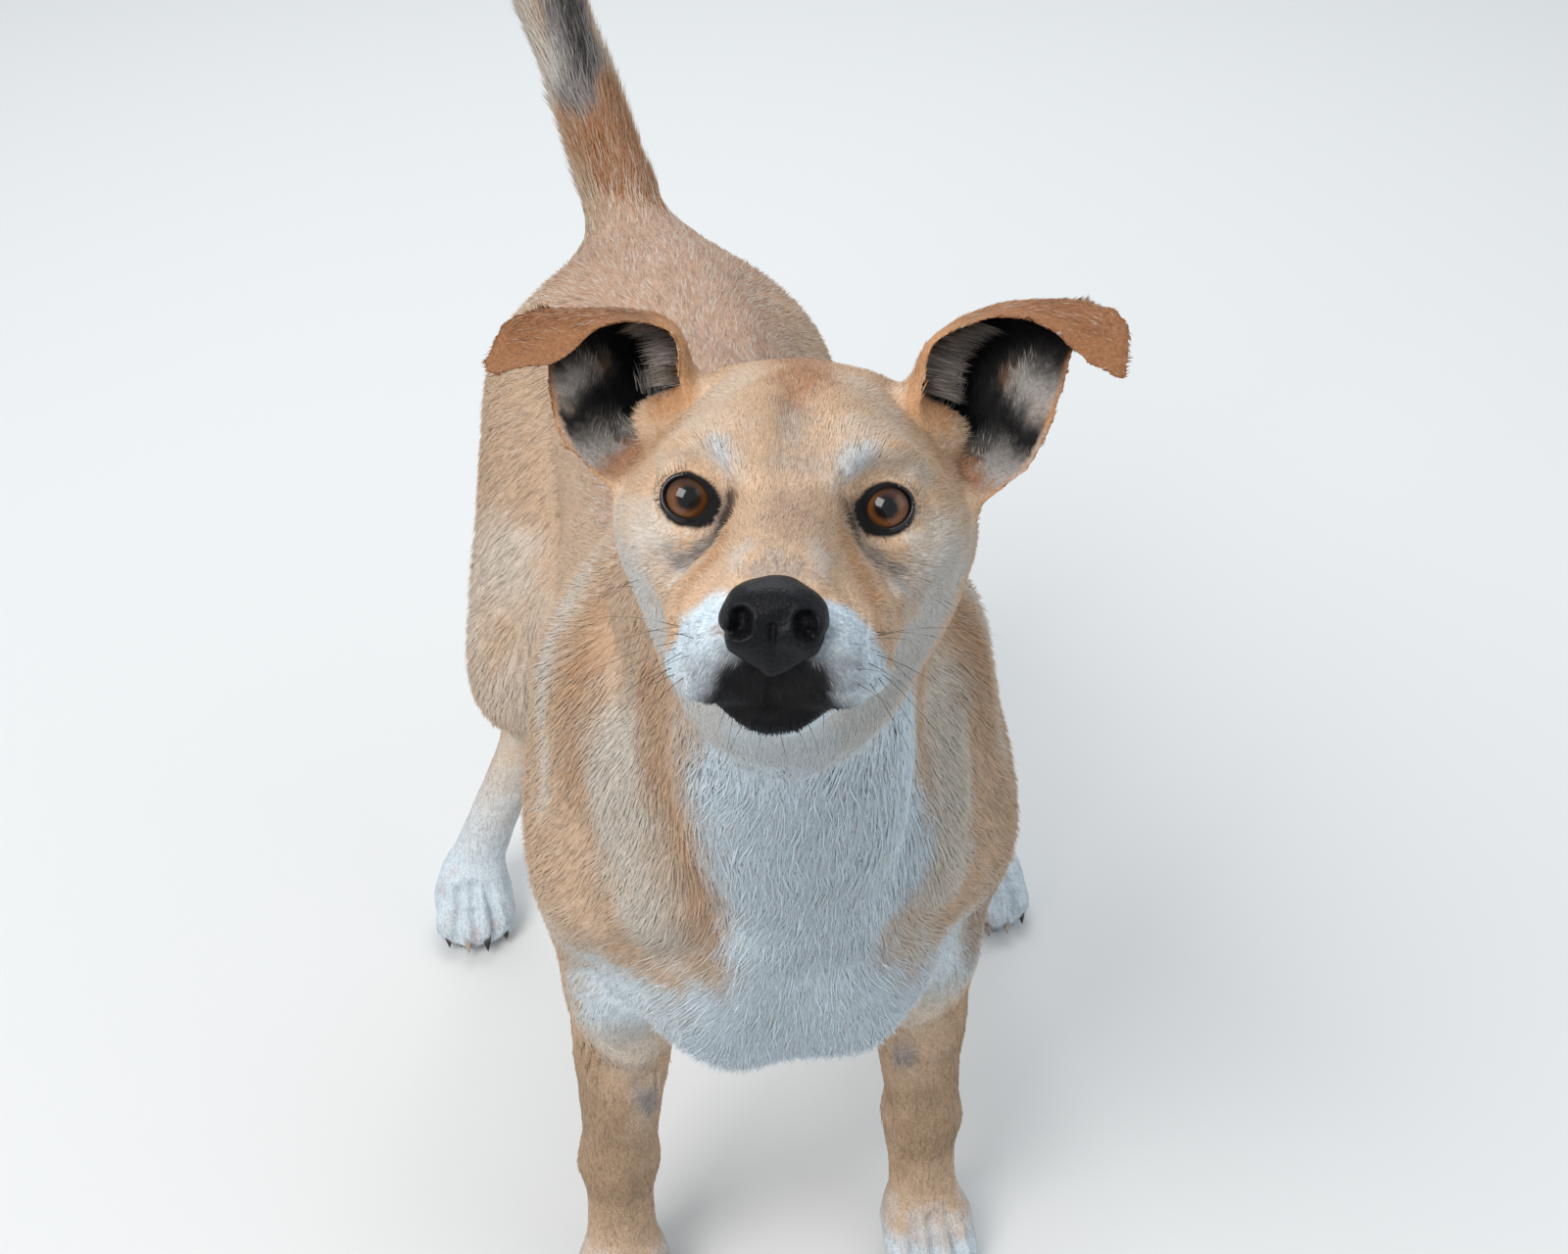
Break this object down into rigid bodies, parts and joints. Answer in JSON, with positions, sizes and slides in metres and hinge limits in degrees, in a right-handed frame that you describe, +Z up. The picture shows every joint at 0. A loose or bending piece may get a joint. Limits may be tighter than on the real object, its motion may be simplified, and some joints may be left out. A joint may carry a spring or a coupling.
{
  "type": "dog",
  "caption": "Life-size still model of a medium-sized, short-coated tan and white dog, standing with its head lifted and its tail raised.",
  "frame": {"origin": "on the floor, below the middle of the dog's length and width", "axes": "+Z up, the dog faces -Y and its own left is +X"},
  "size_m": [0.397, 0.8232, 0.7121],
  "materials": {
    "coat_tan": "short, dense tan hair",
    "coat_pale": "short, dense white hair",
    "nose_leather": "moist black pebbled skin",
    "eye": "wet and clear over a brown iris",
    "claw": "smooth dark horn"
  },
  "bodies": {
    "root": {"neck": "coat_tan", "chest": "coat_tan", "loin": "coat_tan", "rump": "coat_tan", "tail_root": "coat_tan", "tail_middle": "coat_tan", "tail_tip": "coat_tan", "upper_foreleg_left": "coat_tan", "forearm_left": "coat_tan", "front_pastern_left": "coat_tan", "front_paw_left": "coat_pale", "claw_front_left_1": "claw", "claw_front_left_2": "claw", "claw_front_left_3": "claw", "claw_front_left_4": "claw", "upper_foreleg_right": "coat_tan", "forearm_right": "coat_tan", "front_pastern_right": "coat_tan", "front_paw_right": "coat_pale", "claw_front_right_1": "claw", "claw_front_right_2": "claw", "claw_front_right_3": "claw", "claw_front_right_4": "claw", "thigh_left": "coat_tan", "shank_left": "coat_tan", "hind_pastern_left": "coat_tan", "hind_paw_left": "coat_pale", "claw_hind_left_1": "claw", "claw_hind_left_2": "claw", "claw_hind_left_3": "claw", "claw_hind_left_4": "claw", "thigh_right": "coat_tan", "shank_right": "coat_tan", "hind_pastern_right": "coat_tan", "hind_paw_right": "coat_pale", "claw_hind_right_1": "claw", "claw_hind_right_2": "claw", "claw_hind_right_3": "claw", "claw_hind_right_4": "claw", "head": "coat_tan", "nose": "nose_leather", "eye_left": "eye", "eye_right": "eye", "ear_left": "coat_tan", "ear_right": "coat_tan"}
  },
  "joints": []
}
